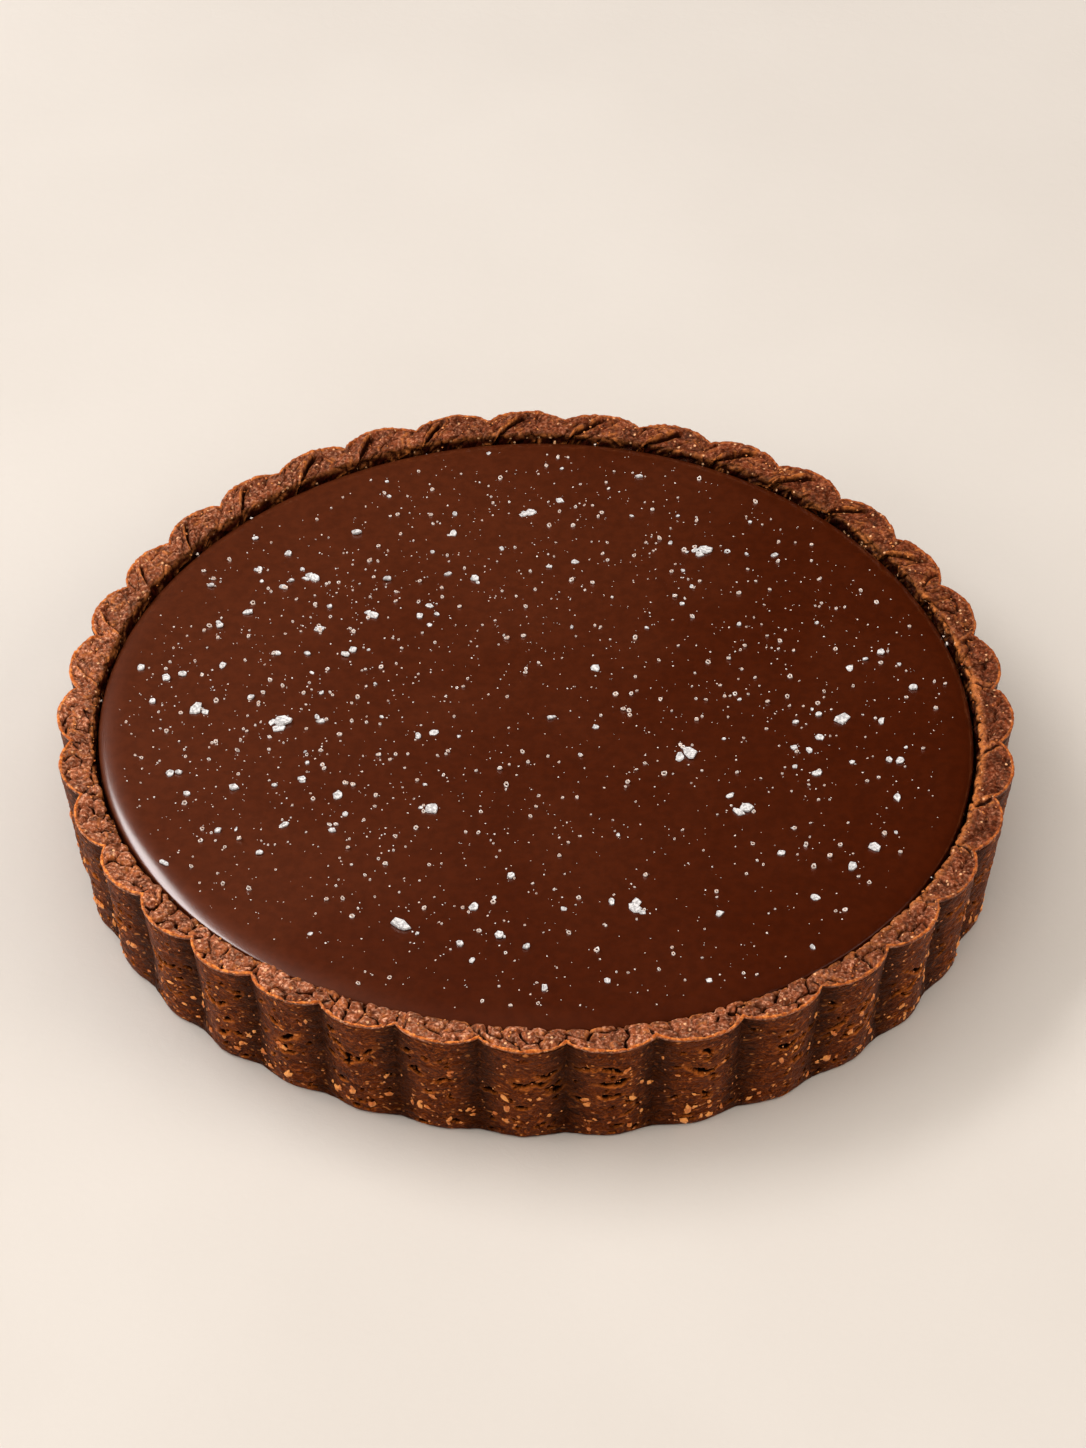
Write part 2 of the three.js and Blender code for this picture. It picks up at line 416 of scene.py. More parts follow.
# the outer wall of the case with its foot, a closed ring whose top hides under the rim
def makeWall():
    columns = wall["columns"]
    angle = evenAngles(columns)
    top = caseHeight + rimLift(angle) - 0.75
    foot = wall["footRounding"]
    rows = []  # radius, height, free to move
    for t in np.linspace(0, 1, wall["footRows"] + 1)[:-1]:
        inset = foot * (1 - math.sin(t * math.pi / 2))
        lift = foot * (1 - math.cos(t * math.pi / 2))
        rows.append((wallRadius(angle, 0) - inset, np.full(columns, lift), t))
    for t in np.linspace(0, 1, wall["rows"]):
        height = foot + (top - foot) * t
        rows.append((wallRadius(angle, height), height, 1))
    radius, height = (np.array([row[k] for row in rows]) for k in (0, 1))
    free = np.array([row[2] for row in rows])[:, None]
    x, y, z = radius * np.cos(angle), radius * np.sin(angle), height

    def bumps(size, seed):
        return softNoise(x, y, z, size, seed)

    relief = wall["unevenHeight"] * layeredNoise(x, y, z, wall["unevenSize"], 71)
    relief += wall["dentHeight"] * layeredNoise(x, y, z * 1.5, wall["dentSize"], 75)
    relief -= wall["footWear"] * (1 - ease(z, 0, 3)) * (0.5 + 0.5 * bumps(2.2, 79))
    relief += wall["grainHeight"] * bumps(wall["grainSize"], 85)
    streak = softNoise(x / 3.2, y / 3.2, (z + 1.6 * bumps(6.0, 87)) / 0.6, 1.0, 89)
    relief += wall["streakHeight"] * streak

    random = np.random.default_rng(wall["seed"])
    uniform = random.uniform
    pit, pitEdge = np.zeros(radius.shape), np.zeros(radius.shape)
    wiggle = 0.7 * bumps(0.9, 81) + 0.3 * bumps(0.45, 83)
    span = int(wall["pitReach"] / wall["meanRadius"] / turn * columns)

    # one pit and its raised edge, which is strongest below it
    def addPit(place, level, halfWide, halfTall, slope):
        middle = int(round((place - firstAngle) / turn * columns))
        picked = np.arange(middle - span, middle + span + 1) % columns
        dx = (np.mod(angle[picked] - place + math.pi, turn) - math.pi) * wall["meanRadius"]
        dz = z[:, picked] - level - slope * dx
        away = np.hypot(dx / halfWide, dz / halfTall) + wiggle[:, picked]
        pit[:, picked] = np.maximum(pit[:, picked], 1 - ease(away, 0.55, 1.2))
        below = ease(-dz / halfTall, -0.6, 0.8)
        edge = bell(away - 1.6, 0.45) * (0.25 + 0.75 * below) * min(1, halfWide)
        pitEdge[:, picked] = np.maximum(pitEdge[:, picked], edge)

    for flute in range(fluteCount):
        left = firstAngle + flute * fluteAngle
        for side in (-1, 1):
            if random.random() < wall["largePitShare"]:
                place = left + fluteAngle / 2 + side * uniform(0.8, 2.3) / wall["meanRadius"]
                addPit(place, random.normal(20.5, 1.2), uniform(1.1, 2.1),
                       uniform(0.5, 0.9), side * uniform(0.1, 0.7))
        for _ in range(wall["smallPits"] + random.integers(-4, 5)):
            large = random.random() ** 2
            addPit(left + uniform(0.1, 0.9) * fluteAngle, 4 + 26 * random.beta(1.7, 1.4),
                   0.38 + 1.0 * large, 0.28 + 0.42 * large, uniform(-0.8, 0.8))
        for _ in range(wall["footPits"]):
            addPit(left + uniform(0.05, 0.95) * fluteAngle, uniform(1.4, 5.5),
                   uniform(0.35, 0.95), uniform(0.25, 0.5), uniform(-0.5, 0.5))
    relief = relief - wall["pitDepth"] * pit + wall["pitEdge"] * pitEdge * (1 - pit)
    radius = radius + relief * free
    # painted shade for the grooves between the flutes
    valleyShade = 1 - fluteSection(angle, 0.25) + 0 * z

    # the sides that don't show: under the rim, down inside the wall and under the foot
    hidden = [(wallRadius(angle, caseHeight) - 1.8, top - 1.2), (wallRadius(angle, 8) - 3.2, 8.0),
              (wallRadius(angle, 0) - 3.2, 0.0)]
    for hiddenRadius, hiddenHeight in hidden:
        radius, height = withRing(radius, hiddenRadius), withRing(height, hiddenHeight)
        pit, pitEdge, valleyShade = (withRing(mask, 0) for mask in (pit, pitEdge, valleyShade))
    points = toPoints(angle, radius, np.maximum(height, 0))
    # painted light on the wall: shade in the pits and grooves, and a highlight on the pit rims
    layers = dict(pit=pit, pitRimHighlight=pitEdge * (1 - pit), valleyShade=valleyShade)
    return ringPieces(("crustWallBack", "crustWallFront"), points, layers)


core = dict(stepsPerFlute=12, inset=2.4, underside=0.03, floorTop=5.0, floorFillet=3.2)


# what the wall and the rim wrap: the underside, the inner wall and the pastry floor
def makeCore():
    angle = evenAngles(core["stepsPerFlute"] * fluteCount)
    inner, bottom, top = tart["floorInnerRadius"], core["underside"], core["floorTop"]
    fillet = core["floorFillet"]
    profile = [(wallRadius(angle, level) - core["inset"], height) for level, height in (
        (0, bottom), (8, 8.0), (caseHeight, caseHeight + rimLift(angle) - 2.6))]
    profile += [(tart["rimInnerRadius"] + 1.0, caseHeight + rimLift(angle) - 3.5),
                (tart["wallInnerRadius"] + 0.4, rim["lowest"]), (inner, top + fillet), (inner - fillet, top)]
    rings = [toPoints(angle, radius + 0 * angle, height + 0 * angle) for radius, height in profile]
    return makeMesh("crustCore", *cappedRings(rings, bottom, top))


ganache = dict(
    columns=432, flatRows=70, shoulderRows=26, shoulderWidth=7.0, shoulderDrop=1.4,
    edgeRadius=113.2, wavesSize=26, wavesHeight=0.12, rippleSize=7, rippleHeight=0.012, seed=91,
    # below the shoulder: radii with their drop below its edge, then radii with their heights
    grooveSide=[(113.3, 0.6), (113.35, 1.8)], hiddenSide=[(113.3, 27.7), (111.0, 8.5), (107.8, 5.3)],
)


# height of the filling's surface at a place, with its shoulder
def fillingHeight(x, y):
    seed, shoulder = ganache["seed"], ganache["shoulderWidth"]
    waves = ganache["wavesHeight"] * softNoise(x, y, 0 * x, ganache["wavesSize"], seed)
    ripples = ganache["rippleHeight"] * softNoise(x, y, 0 * x, ganache["rippleSize"], seed + 1)
    reach = np.hypot(x, y) / outOfRound(np.arctan2(y, x))
    share = np.clip((reach - (ganache["edgeRadius"] - shoulder)) / shoulder, 0, 1)
    drop = ganache["shoulderDrop"] * (1 - (1 - share ** 2.1) ** 0.55)
    return fillingTop - 0.1 + (waves + ripples) * (1 - share ** 2) - drop


def makeGanache():
    columns = ganache["columns"]
    angle = np.arange(columns) / columns * turn
    flatEdge = ganache["edgeRadius"] - ganache["shoulderWidth"]
    shares = np.sin(np.linspace(0, math.pi / 2, ganache["shoulderRows"] + 1)[1:])
    reaches = [*np.linspace(0, flatEdge, ganache["flatRows"] + 1)[1:],
               *(flatEdge + ganache["shoulderWidth"] * shares)]
    reach = np.array(reaches)[:, None] + np.zeros(columns)
    wide = reach * outOfRound(angle)
    height = fillingHeight(wide * np.cos(angle), wide * np.sin(angle))
    # the side of the filling, down into the groove and on to the floor
    side = [(radius, height[-1] - below) for radius, below in ganache["grooveSide"]]
    for radius, level in side + ganache["hiddenSide"]:
        reach, height = withRing(reach, radius), withRing(height, level)
    wide = reach * outOfRound(angle)
    points = np.stack([wide * np.cos(angle), wide * np.sin(angle), height], -1).reshape(-1, 3)
    bottom = ganache["hiddenSide"][-1][1]
    points = np.vstack([points, [[0, 0, surfaceAt(0, 0)], [0, 0, bottom]]])
    rows = reach.shape[0]
    faces = [tuple(reversed(f)) for f in gridFaces(rows, columns)]
    faces += capFaces(0, columns, rows * columns)
    faces += capFaces((rows - 1) * columns, columns, rows * columns + 1, flip=True)
    return makeMesh("ganacheFilling", points, faces)


def surfaceAt(x, y):
    return fillingHeight(np.array([float(x)]), np.array([float(y)]))[0]


# many small closed solids, each given as points and faces, as one mesh
def joinSolids(name, solids):
    points, faces, start = [], [], 0
    for corners, sides in solids:
        points.append(corners)
        faces += [[start + k for k in side] for side in sides]
        start += len(corners)
    return makeMesh(name, np.vstack(points), faces, smooth=False)


def spun(corners, random, lean):
    about = random.uniform(0, turn)
    leanX, leanY = random.uniform(-lean, lean, 2)
    c, s = math.cos(about), math.sin(about)
    flat = corners @ np.array([[c, s, 0], [-s, c, 0], [0, 0, 1]])
    flat[:, 2] += flat[:, 0] * math.tan(leanX) + flat[:, 1] * math.tan(leanY)
    return flat


# a broken plate of salt: an angular outline, thick at the rim and thin in the middle
def saltPlate(size, thick, random, hollow):
    corners = random.integers(6, 10)
    bearing = (np.arange(corners) + random.uniform(-0.35, 0.35, corners)) / corners * turn
    reach = size / 2 * random.uniform(0.7, 1.12, corners)
    stretch = random.uniform(0.75, 1.15)
    ringX, ringY = np.cos(bearing) * reach * stretch, np.sin(bearing) * reach / stretch
    layers = [(0.9, 0.0), (1.0, 0.5 * thick), (0.92, thick), (0.66, thick * (1 - 0.2 * hollow)),
              (0.48, thick * (1 - 0.8 * hollow))]
    rings = [np.stack([ringX * k, ringY * k, np.full(corners, h)], -1) for k, h in layers]
    return cappedRings(rings, 0, layers[-1][1])


# a hollow grain: an angular ring of salt with an open middle
def saltRing(size, random):
    corners = random.integers(5, 8)
    bearing = np.arange(corners) / corners * turn + random.uniform(-0.25, 0.25, corners)
    reach = size / 2 * random.uniform(0.8, 1.15, corners)
    hole = random.uniform(0.48, 0.66)
    thick = size * random.uniform(0.3, 0.5)
    section = [(1.0, 0.0), (1.04, 0.5), (0.85, 1.0), (hole + 0.1, 0.85), (hole, 0.1)]
    points = [np.stack([np.cos(bearing) * reach * k, np.sin(bearing) * reach * k,
                        thick * h * random.uniform(0.7, 1.15, corners)], -1) for k, h in section]
    return np.vstack(points), gridFaces(len(section), corners, closeRows=True)


# a small angular crumb: an eight-sided stone with uneven corners
def crumbStone(size, random, flat=0.6):
    base = np.array([[1, 0, 0], [0, 1, 0], [-1, 0, 0], [0, -1, 0], [0, 0, 1], [0, 0, -1],
                     [0.6, 0.6, 0.5], [-0.6, 0.6, 0.4], [-0.6, -0.6, 0.5], [0.6, -0.6, 0.4]])
    corners = base * random.uniform(0.7, 1.15, (10, 1)) * size / 2
    corners[:, 2] *= flat
    ring = (0, 6, 1, 7, 2, 8, 3, 9)
    sides = list(zip(ring, ring[1:] + ring[:1]))
    return corners, [(a, b, 4) for a, b in sides] + [(a, 5, b) for a, b in sides]


salt = dict(
    # where the larger flakes lie: x, y, size, how many lie together
    flakes=[
        (-66, -2.5, 4.6, 3), (-89, 2.5, 4.2, 2), (-60, 54.5, 3.4, 3), (-75, 58.5, 2.4, 1),
        (-44, 39.5, 3.2, 2), (-2, 82.5, 3.4, 2), (6, 87.5, 2.3, 1), (-23, 73.5, 2.4, 2),
        (45, 66.5, 4.0, 3), (10, 61.5, 2.0, 1), (-29, 43.5, 2.2, 1), (15, 18.5, 2.9, 1),
        (15, -4.5, 2.0, 1), (-27, -6.5, 2.6, 1), (39, -14.5, 4.6, 2), (79, -1.5, 4.2, 1),
        (73, -8.5, 2.6, 1), (70, -13.5, 2.4, 1), (66, -12.5, 2.2, 1), (53, -35.5, 3.8, 2),
        (49, -30.5, 2.2, 1), (-27, -35.5, 3.8, 1), (-51, -30.5, 2.8, 1), (-34, -77.5, 4.6, 1),
        (24, -71.5, 3.9, 3), (79, -56.5, 3.2, 1), (85, -49.5, 3.6, 1), (69, -67.5, 2.6, 1),
        (45, -73.5, 2.4, 1), (93, -17.5, 2.7, 1), (82, 18.5, 2.4, 1), (17, -96.5, 2.0, 1),
        (42, -96.5, 1.9, 1), (-16, -89.5, 2.0, 1), (-83, 19.5, 2.4, 1)],
    # soft patches where more was sprinkled: x, y, spread, share
    patches=[(-80, 2, 24, 0.2), (-52, 52, 26, 0.15), (5, 74, 30, 0.15), (52, 50, 26, 0.08),
             (62, -5, 24, 0.12), (-15, -76, 24, 0.12), (-55, -35, 24, 0.1)],
    evenShare=0.22, reach=109, middling=115, rings=600, grains=950, dust=1000, caught=14, seed=5,
    # smallest size and how much larger the largest is
    middlingSize=(1.15, 1.6), ringSize=(0.55, 0.85), grainSize=(0.28, 0.32),
)


# places for small salt: a share of it lies evenly, and the rest in the patches
def sprinkle(random, count, evenShare, patchSpread=1.0):
    places = []
    shares = np.array([patch[3] for patch in salt["patches"]])
    while len(places) < count:
        if random.random() < evenShare:
            x, y = random.uniform(-salt["reach"], salt["reach"], 2)
        else:
            px, py, spread, _ = salt["patches"][random.choice(len(shares), p=shares / shares.sum())]
            x, y = (middle + random.normal(0, spread) * patchSpread for middle in (px, py))
        if math.hypot(x, y) / outOfRound(math.atan2(y, x)) < salt["reach"] - 3 * random.random() ** 2:
            places.append((x, y))
    return np.array(places)


def makeSalt():
    random = np.random.default_rng(salt["seed"])
    uniform = random.uniform
    flakes, grains = [], []

    def sized(limits, power):
        return limits[0] + limits[1] * random.random() ** power

    def lay(pile, solid, x, y, lean, sink):  # turned and tilted, a little sunk into the filling
        corners, sides = solid
        corners = spun(corners, random, lean)
        pile.append((corners + [x, y, surfaceAt(x, y) - corners[:, 2].min() - sink], sides))

    for x, y, size, together in salt["flakes"]:
        for k in range(together):
            away = size * 0.62 * (k > 0)
            bearing = uniform(0, turn)
            px, py = x + away * math.cos(bearing), y + away * math.sin(bearing)
            own = size * (1 if k == 0 else uniform(0.45, 0.8))
            plate = saltPlate(own, own * uniform(0.11, 0.18), random, uniform(0.1, 0.5))
            lay(flakes, plate, px, py, 0.09, 0.12)
    for x, y in sprinkle(random, salt["middling"], salt["evenShare"]):
        own = sized(salt["middlingSize"], 1.7)
        plate = saltPlate(own, own * uniform(0.16, 0.3), random, uniform(0.2, 0.95))
        lay(flakes, plate, x, y, 0.2, 0.1)
    for x, y in sprinkle(random, salt["rings"], 0.35, 1.2):
        lay(grains, saltRing(sized(salt["ringSize"], 1.8), random), x, y, 0.35, 0.06)
    for x, y in sprinkle(random, salt["grains"], 0.45, 1.25):
        corners, sides = crumbStone(sized(salt["grainSize"], 1.5), random, uniform(0.6, 1))
        grains.append((spun(corners, random, 0.3) + [x, y, surfaceAt(x, y) + 0.05], sides))
    for x, y in sprinkle(random, salt["dust"], 0.6, 1.4):
        corners, sides = crumbStone(uniform(0.16, 0.34), random, 0.9)
        grains.append((corners + [x, y, surfaceAt(x, y) + 0.03], sides))
    # a few grains caught in the groove round the filling
    for _ in range(salt["caught"]):
        angle = uniform(0, turn)
        radius = uniform(113.1, 113.9) * outOfRound(angle)
        corners, sides = crumbStone(uniform(0.5, 1.2), random, 0.8)
        corners = spun(corners, random, 0.3)
        level = fillingTop - uniform(1.3, 2.1)
        grains.append((corners + [radius * math.cos(angle), radius * math.sin(angle), level], sides))
    return joinSolids("saltFlakes", flakes), joinSolids("saltGrains", grains)


sugar = dict(bitsPerFlute=14, specksPerFlute=34, rimPerFlute=16, bitSize=(1.2, 2.0),
             speckSize=(0.35, 0.85), seed=37)


# toasted sugar and crumbs pressed into the case
def makeSugar():
    random = np.random.default_rng(sugar["seed"])
    uniform = random.uniform
    bits, specks = [], []

    # a bit turned to lie flat on the wall
    def onWall(angle, level, corners, sink):
        here = angle + np.array([-0.004, 0, 0.004])
        ends = toPoints(here, wallRadius(here, level), level)[:, :2]
        side = ends[2] - ends[0]
        side = side / np.hypot(*side)
        out = np.array([side[1], -side[0], 0])
        axes = np.array([[side[0], side[1], 0], [0, 0, 1], out])
        return corners @ axes + [ends[1][0], ends[1][1], level] + out * sink

    for flute in range(fluteCount):
        for _ in range(sugar["bitsPerFlute"] + random.integers(-3, 4)):
            angle = firstAngle + (flute + uniform(0.05, 0.95)) * fluteAngle
            level = random.choice([uniform(2.0, 8.5), uniform(5, 17), uniform(12, 29)],
                                  p=[0.5, 0.34, 0.16])
            size = sugar["bitSize"][0] + sugar["bitSize"][1] * random.random() ** 1.5
            corners, sides = crumbStone(size, random, 0.42)
            corners[:, 1] *= uniform(0.5, 0.75)
            bits.append((onWall(angle, level, spun(corners, random, 0.1), 0.0), sides))
        for _ in range(sugar["specksPerFlute"]):
            angle = firstAngle + (flute + random.random()) * fluteAngle
            level = 1.2 + 31 * random.beta(1.0, 1.4)
            corners, sides = crumbStone(uniform(*sugar["speckSize"]), random, 0.5)
            specks.append((onWall(angle, level, spun(corners, random, 0.1), -0.02), sides))
        for _ in range(sugar["rimPerFlute"]):
            angle = firstAngle + (flute + random.random()) * fluteAngle
            outer = float(wallRadius(np.array([angle]), caseHeight)[0])
            width = outer - tart["rimInnerRadius"]
            inset = width * random.choice([random.beta(0.7, 3), random.random(), 1.0], p=[0.45, 0.43, 0.12])
            level = caseHeight + float(rimLift(angle)) - 0.35
            if inset > width - 1.0:
                level -= uniform(0.9, 3.2)
            corners, sides = crumbStone(uniform(*sugar["speckSize"]), random, 0.8)
            corners = spun(corners, random, 0.4)
            specks.append((corners + toPoints(np.array([angle]), outer - inset, level)[0], sides))
    return joinSolids("sugarBits", bits), joinSolids("sugarSpecks", specks)


# shader helpers: a value is a socket to link or a constant to set
def feed(tree, socket, value):
    if isinstance(value, bpy.types.NodeSocket):
        tree.links.new(value, socket)
    else:
        socket.default_value = value


def addNode(tree, kind, inputs=None, **settings):
    node = tree.nodes.new("ShaderNode" + kind)
    for key, value in settings.items():
        setattr(node, key, value)
    for key, value in (inputs or {}).items():
        feed(tree, node.inputs[key], value)
    return node


def calc(tree, operation, a, b, clamp=False):
    return addNode(tree, "Math", {0: a, 1: b}, operation=operation, use_clamp=clamp).outputs[0]


def times(tree, a, b):
    return calc(tree, "MULTIPLY", a, b)


def vectorCalc(tree, operation, a, b, output=0):
    return addNode(tree, "VectorMath", {0: a, 1: b}, operation=operation).outputs[output]


def remap(tree, value, low, high, toLow=0.0, toHigh=1.0):
    limits = {"Value": value, "From Min": low, "From Max": high, "To Min": toLow, "To Max": toHigh}
    return addNode(tree, "MapRange", limits, interpolation_type="SMOOTHSTEP").outputs[0]


def blend(tree, share, a, b, mode="MIX"):
    node = addNode(tree, "Mix", {0: share, 6: a, 7: b}, data_type="RGBA", blend_type=mode)
    return node.outputs[2]


def tinted(tree, color, tint, share=1.0):
    return blend(tree, share, color, tint, "MULTIPLY")


def noise(tree, vector, scale, detail=3.0, rough=0.55, distortion=0.0, output=0):
    return addNode(tree, "TexNoise", {
        "Vector": vector, "Scale": scale, "Detail": detail, "Roughness": rough,
        "Distortion": distortion}).outputs[output]


# a number layer of the mesh, remapped if limits are given
def layer(tree, name, *limits):
    value = addNode(tree, "Attribute", attribute_name=name).outputs["Fac"]
    return remap(tree, value, *limits) if limits else value


def newGroup(name, inputs, outputs):
    group = bpy.data.node_groups.new(name, "ShaderNodeTree")
    for label, kind, value in inputs:
        socket = group.interface.new_socket(name=label, in_out="INPUT", socket_type="NodeSocket" + kind)
        if value is not None:
            socket.default_value = value
    for label, kind in outputs:
        group.interface.new_socket(name=label, in_out="OUTPUT", socket_type="NodeSocket" + kind)
    return group, group.nodes.new("NodeGroupInput"), group.nodes.new("NodeGroupOutput")


# baked dough: three browns that mix in patches and fine grain, with a height for bumps
def bakedDoughGroup():
    group, given, made = newGroup(
        "bakedDough",
        [("Vector", "Vector", None), ("Patch Scale", "Float", 300.0), ("Grain Scale", "Float", 1600.0),
         ("Swirl", "Float", 0.5), ("Deep", "Color", (0.05, 0.015, 0.006, 1)),
         ("Body", "Color", (0.15, 0.05, 0.02, 1)), ("Bright", "Color", (0.3, 0.12, 0.06, 1))],
        [("Color", "Color"), ("Height", "Float")])
    put = given.outputs
    patch, grain = (noise(group, put["Vector"], put[scale], detail, 0.5, put["Swirl"])
                    for scale, detail in (("Patch Scale", 4.0), ("Grain Scale", 3.0)))
    body = blend(group, remap(group, patch, 0.28, 0.55), put["Deep"], put["Body"])
    color = blend(group, remap(group, grain, 0.45, 0.78), body, put["Bright"])
    shaded = tinted(group, color, remap(group, grain, 0.22, 0.42, 0.45, 1.0))
    group.links.new(shaded, made.inputs["Color"])
    group.links.new(times(group, calc(group, "ADD", patch, grain), 0.5), made.inputs["Height"])
    return group


# scattered specks: a mask of small dots, some of them dropped at random
def specksGroup():
    group, given, made = newGroup(
        "scatteredSpecks",
        [("Vector", "Vector", None), ("Scale", "Float", 900.0), ("Size", "Float", 0.3),
         ("Amount", "Float", 0.3)],
        [("Mask", "Float")])
    put = given.outputs
    dots = addNode(group, "TexVoronoi", {"Vector": put["Vector"], "Scale": put["Scale"]}).outputs
    near = calc(group, "SUBTRACT", 1.0, calc(group, "DIVIDE", dots["Distance"], put["Size"]), clamp=True)
    pick = addNode(group, "SeparateColor", {"Color": dots["Color"]}).outputs[0]
    chosen = calc(group, "LESS_THAN", pick, put["Amount"])
    group.links.new(times(group, remap(group, near, 0.0, 0.5), chosen), made.inputs["Mask"])
    return group


def placeDough(tree, dough, vector, patchScale, grainScale, swirl, look):
    return addNode(tree, "Group", {
        "Vector": vector, "Patch Scale": patchScale, "Grain Scale": grainScale, "Swirl": swirl,
        "Deep": look["deep"], "Body": look["body"], "Bright": look["bright"]}, node_tree=dough).outputs


def speckled(tree, specks, color, tone, vector, scale, size, amount):
    mask = addNode(tree, "Group", {
        "Vector": vector, "Scale": scale, "Size": size, "Amount": amount}, node_tree=specks).outputs["Mask"]
    return blend(tree, times(tree, mask, 0.85), color, tone)


def startMaterial(name, values):
    material = bpy.data.materials.new(name)
    material.use_nodes = True
    tree = material.node_tree
    shader = tree.nodes["Principled BSDF"]
    for key, value in values.items():
        shader.inputs[key].default_value = value
    return material, tree, shader, addNode(tree, "TexCoord").outputs["Object"]


# links a colour and a bumpy height to the shader
def finish(tree, shader, color, height, strength, distance):
    bump = addNode(tree, "Bump", {"Height": height, "Strength": strength, "Distance": distance})
    tree.links.new(color, shader.inputs["Base Color"])
    tree.links.new(bump.outputs[0], shader.inputs["Normal"])


rimColors = dict(
    deep=(0.15, 0.03, 0.009, 1), body=(0.345, 0.093, 0.035, 1), bright=(0.94, 0.48, 0.3, 1),
    sideShadeTint=(0.46, 0.32, 0.24, 1), sunkShadeTint=(0.4, 0.24, 0.15, 1), innerWallShade=(0.09, 0.03, 0.011, 1),
    toastAndHighlight=(0.68, 0.21, 0.05, 1), speck=(1.0, 0.54, 0.27, 1), crack=(0.02, 0.0036, 0.0008, 1),
    crispDark=(0.58, 0.125, 0.02, 1), crispPale=(1.0, 0.32, 0.07, 1), crispTint=(0.5, 0.42, 0.4, 1),
)


def rimMaterial(dough, specks):
    look = rimColors
    material, tree, shader, coords = startMaterial("crumbRim", {
        "Roughness": 0.45, "Specular IOR Level": 0.4, "Specular Tint": (1.0, 0.5, 0.3, 1)})
    bakedAndSideShade = placeDough(tree, dough, coords, 420.0, 1350.0, 0.6, look)
    color = tinted(tree, bakedAndSideShade["Color"], layer(tree, "tone", 0.0, 1.0, 0.82, 1.15))
    # painted shade in the hollows of the fine grain, with lighter grain tops
    color = tinted(tree, color, layer(tree, "grain", 0.2, 0.7, 0.46, 1.12))
    # painted shade, darker towards the back and right side of the rim
    color = tinted(tree, color, look["sideShadeTint"], layer(tree, "bakedAndSideShade"))
    # painted shade on the low pastry beside the folds and in the middle of the pressed flutes
    color = tinted(tree, color, look["sunkShadeTint"], layer(tree, "sunkShade"))
    # painted shade: the inner wall darkens down towards the filling
    color = tinted(tree, color, look["innerWallShade"], layer(tree, "depth", 0.08, 0.3))
    # toasted colour and painted highlights on the edges of crumbs, folds and creases and along the inner
    # edge
    toastAndHighlight = times(tree, layer(tree, "toastAndHighlight"), remap(tree, noise(tree, coords, 900.0), 0.3, 0.6))
    color = blend(tree, times(tree, toastAndHighlight, 0.9), color, look["toastAndHighlight"])
    color = speckled(tree, specks, color, look["speck"], coords, 900.0, 0.42, 0.08)
    # painted shade: cracks, creases and folds are coloured nearly black
    color = blend(tree, layer(tree, "crack", 0.24, 0.72), color, look["crack"])
    crisp = times(tree, layer(tree, "crisp", 0.2, 0.55),
                  remap(tree, noise(tree, coords, 700.0), 0.34, 0.58, 0.3, 1.0))
    crispTone = blend(tree, remap(tree, noise(tree, coords, 900.0, 2.0), 0.4, 0.62),
                           look["crispDark"], look["crispPale"])
    # painted shade on the lip, darker towards the back and right side
    crispTone = tinted(tree, crispTone, look["crispTint"], layer(tree, "bakedAndSideShade"))
    color = blend(tree, crisp, color, crispTone)
    finish(tree, shader, color, bakedAndSideShade["Height"], 0.8, 0.0009)
    return material


wallColors = dict(
    deep=(0.036, 0.0042, 0.0004, 1), body=(0.094, 0.0155, 0.0015, 1), bright=(0.3, 0.068, 0.011, 1),
    orange=(0.5, 0.11, 0.016, 1), speck=(0.72, 0.24, 0.06, 1), pitRimHighlight=(0.62, 0.16, 0.025, 1),
    pit=(0.006, 0.0015, 0.0006, 1),
)


def wallMaterial(dough, specks):
    look = wallColors
    material, tree, shader, coords = startMaterial("pressedWall", {
        "Roughness": 0.5, "Specular IOR Level": 0.14, "Specular Tint": (1.0, 0.35, 0.1, 1)})
    # the dough was dragged along the tin: swirling coordinates, flattened upwards
    swirl = noise(tree, coords, 130.0, 2.0, 0.5, output="Color")
    warped = vectorCalc(tree, "ADD", coords, vectorCalc(tree, "MULTIPLY", swirl, (0.006, 0.006, 0.006)))
    flat = addNode(tree, "Mapping", {"Vector": warped, "Scale": (1.0, 1.0, 1.7)}).outputs[0]
    bakedAndSideShade = placeDough(tree, dough, flat, 200.0, 820.0, 1.4, look)
    orange = remap(tree, noise(tree, flat, 420.0, 3.0, 0.6, 0.8), 0.58, 0.68)
    color = blend(tree, times(tree, orange, 0.42), bakedAndSideShade["Color"], look["orange"])
    color = speckled(tree, specks, color, look["speck"], flat, 560.0, 0.36, 0.24)
    # painted highlight: orange rims round the pits, strongest below them
    color = blend(tree, times(tree, layer(tree, "pitRimHighlight"), 0.7), color, look["pitRimHighlight"])
    # painted shade in the grooves between the flutes, with the crests a little lighter
    color = tinted(tree, color, layer(tree, "valleyShade", 0.25, 1.0, 1.06, 0.36))
    strokes = noise(tree, flat, 380.0, 4.0, 0.6, 2.2)
    color = tinted(tree, color, remap(tree, strokes, 0.34, 0.5, 0.42, 1.0))
    # painted shade: the pits are coloured nearly black
    color = blend(tree, layer(tree, "pit", 0.12, 0.45), color, look["pit"])
    finish(tree, shader, color, bakedAndSideShade["Height"], 0.9, 0.0008)
    return material


ganacheColors = dict(dark=(0.056, 0.0071, 0.0006, 1), sheenSide=(0.088, 0.0168, 0.0046, 1))


